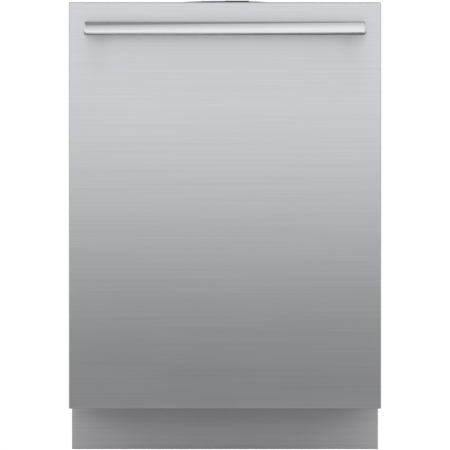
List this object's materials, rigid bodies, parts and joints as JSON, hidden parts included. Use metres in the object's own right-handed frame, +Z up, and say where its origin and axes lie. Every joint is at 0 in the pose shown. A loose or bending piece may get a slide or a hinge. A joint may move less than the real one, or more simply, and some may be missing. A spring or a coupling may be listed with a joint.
{
  "type": "built-in dishwasher",
  "caption": "Built-in dishwasher with a drop-down steel door, full-width bar handle, controls on the door's top edge, steel tub, sliding wire racks, spray arms and a recessed toe kick.",
  "frame": {"origin": "on the floor under the middle of the whole object's box, handle included", "axes": "+Z up, +X to the right as seen from the front, the door faces -Y"},
  "size_m": [0.598, 0.663, 0.864],
  "materials": {
    "front_steel": "horizontally brushed, satin",
    "handle_metal": "satin, brushed along the bar",
    "tub_steel": "bright rolled",
    "zinc_steel": "zinc plated",
    "screw_steel": "bright",
    "black_plastic": "fine matt",
    "base_plastic": "matt",
    "grey_plastic": "satin",
    "light_plastic": "satin",
    "white_plastic": "satin",
    "clear_lid": "glossy",
    "button_caps": "satin",
    "rubber_seal": "matt",
    "hose_rubber": "matt, ribbed",
    "rack_coating": "nylon coated",
    "felt": "coarse felt",
    "board": "glossy",
    "lens": "glossy, dark",
    "spring_steel": "oiled"
  },
  "bodies": {
    "tub": {"tub_wrapper": "tub_steel", "tub_back_wall": "tub_steel", "tub_floor_pan": "tub_steel", "front_frame": "tub_steel", "door_gasket": "rubber_seal", "insulation_blanket": "felt", "base_tray": "base_plastic", "kick_plate": "front_steel", "kick_clips": "spring_steel", "sump_housing": "grey_plastic", "fine_filter": "tub_steel", "wash_pump": "base_plastic", "drain_pump": "base_plastic", "inlet_valve": "white_plastic", "drain_hose": "hose_rubber", "air_break_box": "white_plastic", "feed_tube": "grey_plastic", "ceiling_sprayer": "grey_plastic", "hinge_brackets": "zinc_steel", "mounting_brackets": "zinc_steel", "latch_strike": "zinc_steel", "rack_rails": "zinc_steel", "junction_box": "zinc_steel", "door_springs": "spring_steel"},
    "door": {"outer_door_panel": "front_steel", "inner_door_liner": "tub_steel", "door_insulation": "felt", "handle_bar": "handle_metal", "handle_posts": "handle_metal", "handle_screws": "screw_steel", "control_strip": "black_plastic", "display_lens": "lens", "control_board": "board", "door_latch": "base_plastic", "dispenser_housing": "grey_plastic", "hinge_arms": "zinc_steel"},
    "foot_front_left": {"foot_front_left": "base_plastic"},
    "foot_front_right": {"foot_front_right": "base_plastic"},
    "foot_rear_left": {"foot_rear_left": "base_plastic"},
    "foot_rear_right": {"foot_rear_right": "base_plastic"},
    "detergent_lid": {"detergent_lid": "clear_lid"},
    "rinse_aid_cap": {"rinse_aid_cap": "light_plastic"},
    "button_power": {"button_power": "button_caps"},
    "button_cycle": {"button_cycle": "button_caps"},
    "button_options": {"button_options": "button_caps"},
    "button_start": {"button_start": "button_caps"},
    "lower_spray_arm": {"lower_spray_arm": "grey_plastic"},
    "middle_spray_arm": {"middle_spray_arm": "grey_plastic"},
    "filter_cup": {"filter_cup": "light_plastic"},
    "float_cap": {"float_cap": "white_plastic"},
    "upper_rack": {"upper_rack": "rack_coating"},
    "rail_sliders": {"rail_sliders": "zinc_steel"},
    "cup_shelf_left": {"cup_shelf_left": "rack_coating"},
    "cup_shelf_right": {"cup_shelf_right": "rack_coating"},
    "wheels_front": {"wheels_front": "light_plastic"},
    "wheels_rear": {"wheels_rear": "light_plastic"},
    "fold_tines": {"fold_tines": "rack_coating"},
    "third_rack": {"third_rack": "rack_coating"},
    "lower_rack": {"lower_rack": "rack_coating", "cutlery_basket": "grey_plastic"}
  },
  "joints": [
    {"name": "door_hinge", "type": "hinge", "parent": "tub", "child": "door", "pos_m": [0, -0.2265, 0.108], "axis": [1, 0, 0], "range_deg": [0, 90], "stiffness_Nm_per_rad": 24, "deforming": ["door_springs"]},
    {"name": "foot_front_left_screw", "type": "slide", "parent": "tub", "child": "foot_front_left", "axis": [0, 0, -1], "range_m": [0, 0.03]},
    {"name": "foot_front_right_screw", "type": "slide", "parent": "tub", "child": "foot_front_right", "axis": [0, 0, -1], "range_m": [0, 0.03]},
    {"name": "foot_rear_left_screw", "type": "slide", "parent": "tub", "child": "foot_rear_left", "axis": [0, 0, -1], "range_m": [0, 0.03]},
    {"name": "foot_rear_right_screw", "type": "slide", "parent": "tub", "child": "foot_rear_right", "axis": [0, 0, -1], "range_m": [0, 0.03]},
    {"name": "lower_rack_slide", "type": "slide", "parent": "tub", "child": "lower_rack", "axis": [0, -1, 0], "range_m": [0, 0.1502]},
    {"name": "upper_rack_slide", "type": "slide", "parent": "tub", "child": "upper_rack", "axis": [0, -1, 0], "range_m": [0, 0.4502]},
    {"name": "rail_slider_slide", "type": "slide", "parent": "tub", "child": "rail_sliders", "axis": [0, -1, 0], "range_m": [0, 0.2252]},
    {"name": "third_rack_slide", "type": "slide", "parent": "tub", "child": "third_rack", "axis": [0, -1, 0], "range_m": [0, 0.4002]},
    {"name": "front_wheels_roll", "type": "hinge", "parent": "lower_rack", "child": "wheels_front", "pos_m": [0, -0.0765, 0.1458], "axis": [1, 0, 0], "continuous": true},
    {"name": "rear_wheels_roll", "type": "hinge", "parent": "lower_rack", "child": "wheels_rear", "pos_m": [0, 0.2175, 0.1458], "axis": [1, 0, 0], "continuous": true},
    {"name": "tines_fold", "type": "hinge", "parent": "lower_rack", "child": "fold_tines", "pos_m": [0, 0.0165, 0.1865], "axis": [1, 0, 0], "range_deg": [0, 80]},
    {"name": "left_shelf_fold", "type": "hinge", "parent": "upper_rack", "child": "cup_shelf_left", "pos_m": [-0.2371, 0, 0.511], "axis": [0, -1, 0], "range_deg": [0, 80]},
    {"name": "right_shelf_fold", "type": "hinge", "parent": "upper_rack", "child": "cup_shelf_right", "pos_m": [0.2371, 0, 0.511], "axis": [0, 1, 0], "range_deg": [0, 80]},
    {"name": "lower_arm_spin", "type": "hinge", "parent": "tub", "child": "lower_spray_arm", "pos_m": [0, 0.06025, 0.15], "axis": [0, 0, 1], "continuous": true},
    {"name": "middle_arm_spin", "type": "hinge", "parent": "upper_rack", "child": "middle_spray_arm", "pos_m": [0, 0.06025, 0.398], "axis": [0, 0, 1], "continuous": true},
    {"name": "filter_cup_turn", "type": "hinge", "parent": "tub", "child": "filter_cup", "pos_m": [0, 0.00625, 0.075], "axis": [0, 0, 1], "range_deg": [0, 90]},
    {"name": "float_rise", "type": "slide", "parent": "tub", "child": "float_cap", "axis": [0, 0, 1], "range_m": [0, 0.01]},
    {"name": "detergent_lid_slide", "type": "slide", "parent": "door", "child": "detergent_lid", "axis": [-1, 0, 0], "range_m": [0, 0.07]},
    {"name": "rinse_aid_cap_turn", "type": "hinge", "parent": "door", "child": "rinse_aid_cap", "pos_m": [0.08, -0.2095, 0.483], "axis": [0, 1, 0], "range_deg": [0, 90]},
    {"name": "button_power_press", "type": "slide", "parent": "door", "child": "button_power", "axis": [0, 0, -1], "range_m": [0, 0.0012], "stiffness_N_per_m": 600, "springref_m": -0.0008},
    {"name": "button_cycle_press", "type": "slide", "parent": "door", "child": "button_cycle", "axis": [0, 0, -1], "range_m": [0, 0.0012], "stiffness_N_per_m": 600, "springref_m": -0.0008},
    {"name": "button_options_press", "type": "slide", "parent": "door", "child": "button_options", "axis": [0, 0, -1], "range_m": [0, 0.0012], "stiffness_N_per_m": 600, "springref_m": -0.0008},
    {"name": "button_start_press", "type": "slide", "parent": "door", "child": "button_start", "axis": [0, 0, -1], "range_m": [0, 0.0012], "stiffness_N_per_m": 600, "springref_m": -0.0008}
  ],
  "couplings": [
    {"joint": "lower_rack_slide", "follows": "door_hinge", "m_per_rad": 0.095493},
    {"joint": "upper_rack_slide", "follows": "door_hinge", "m_per_rad": 0.28648},
    {"joint": "rail_slider_slide", "follows": "door_hinge", "m_per_rad": 0.14324},
    {"joint": "third_rack_slide", "follows": "door_hinge", "m_per_rad": 0.25465},
    {"joint": "front_wheels_roll", "follows": "door_hinge", "ratio": 4.7746},
    {"joint": "rear_wheels_roll", "follows": "door_hinge", "ratio": 4.7746}
  ]
}
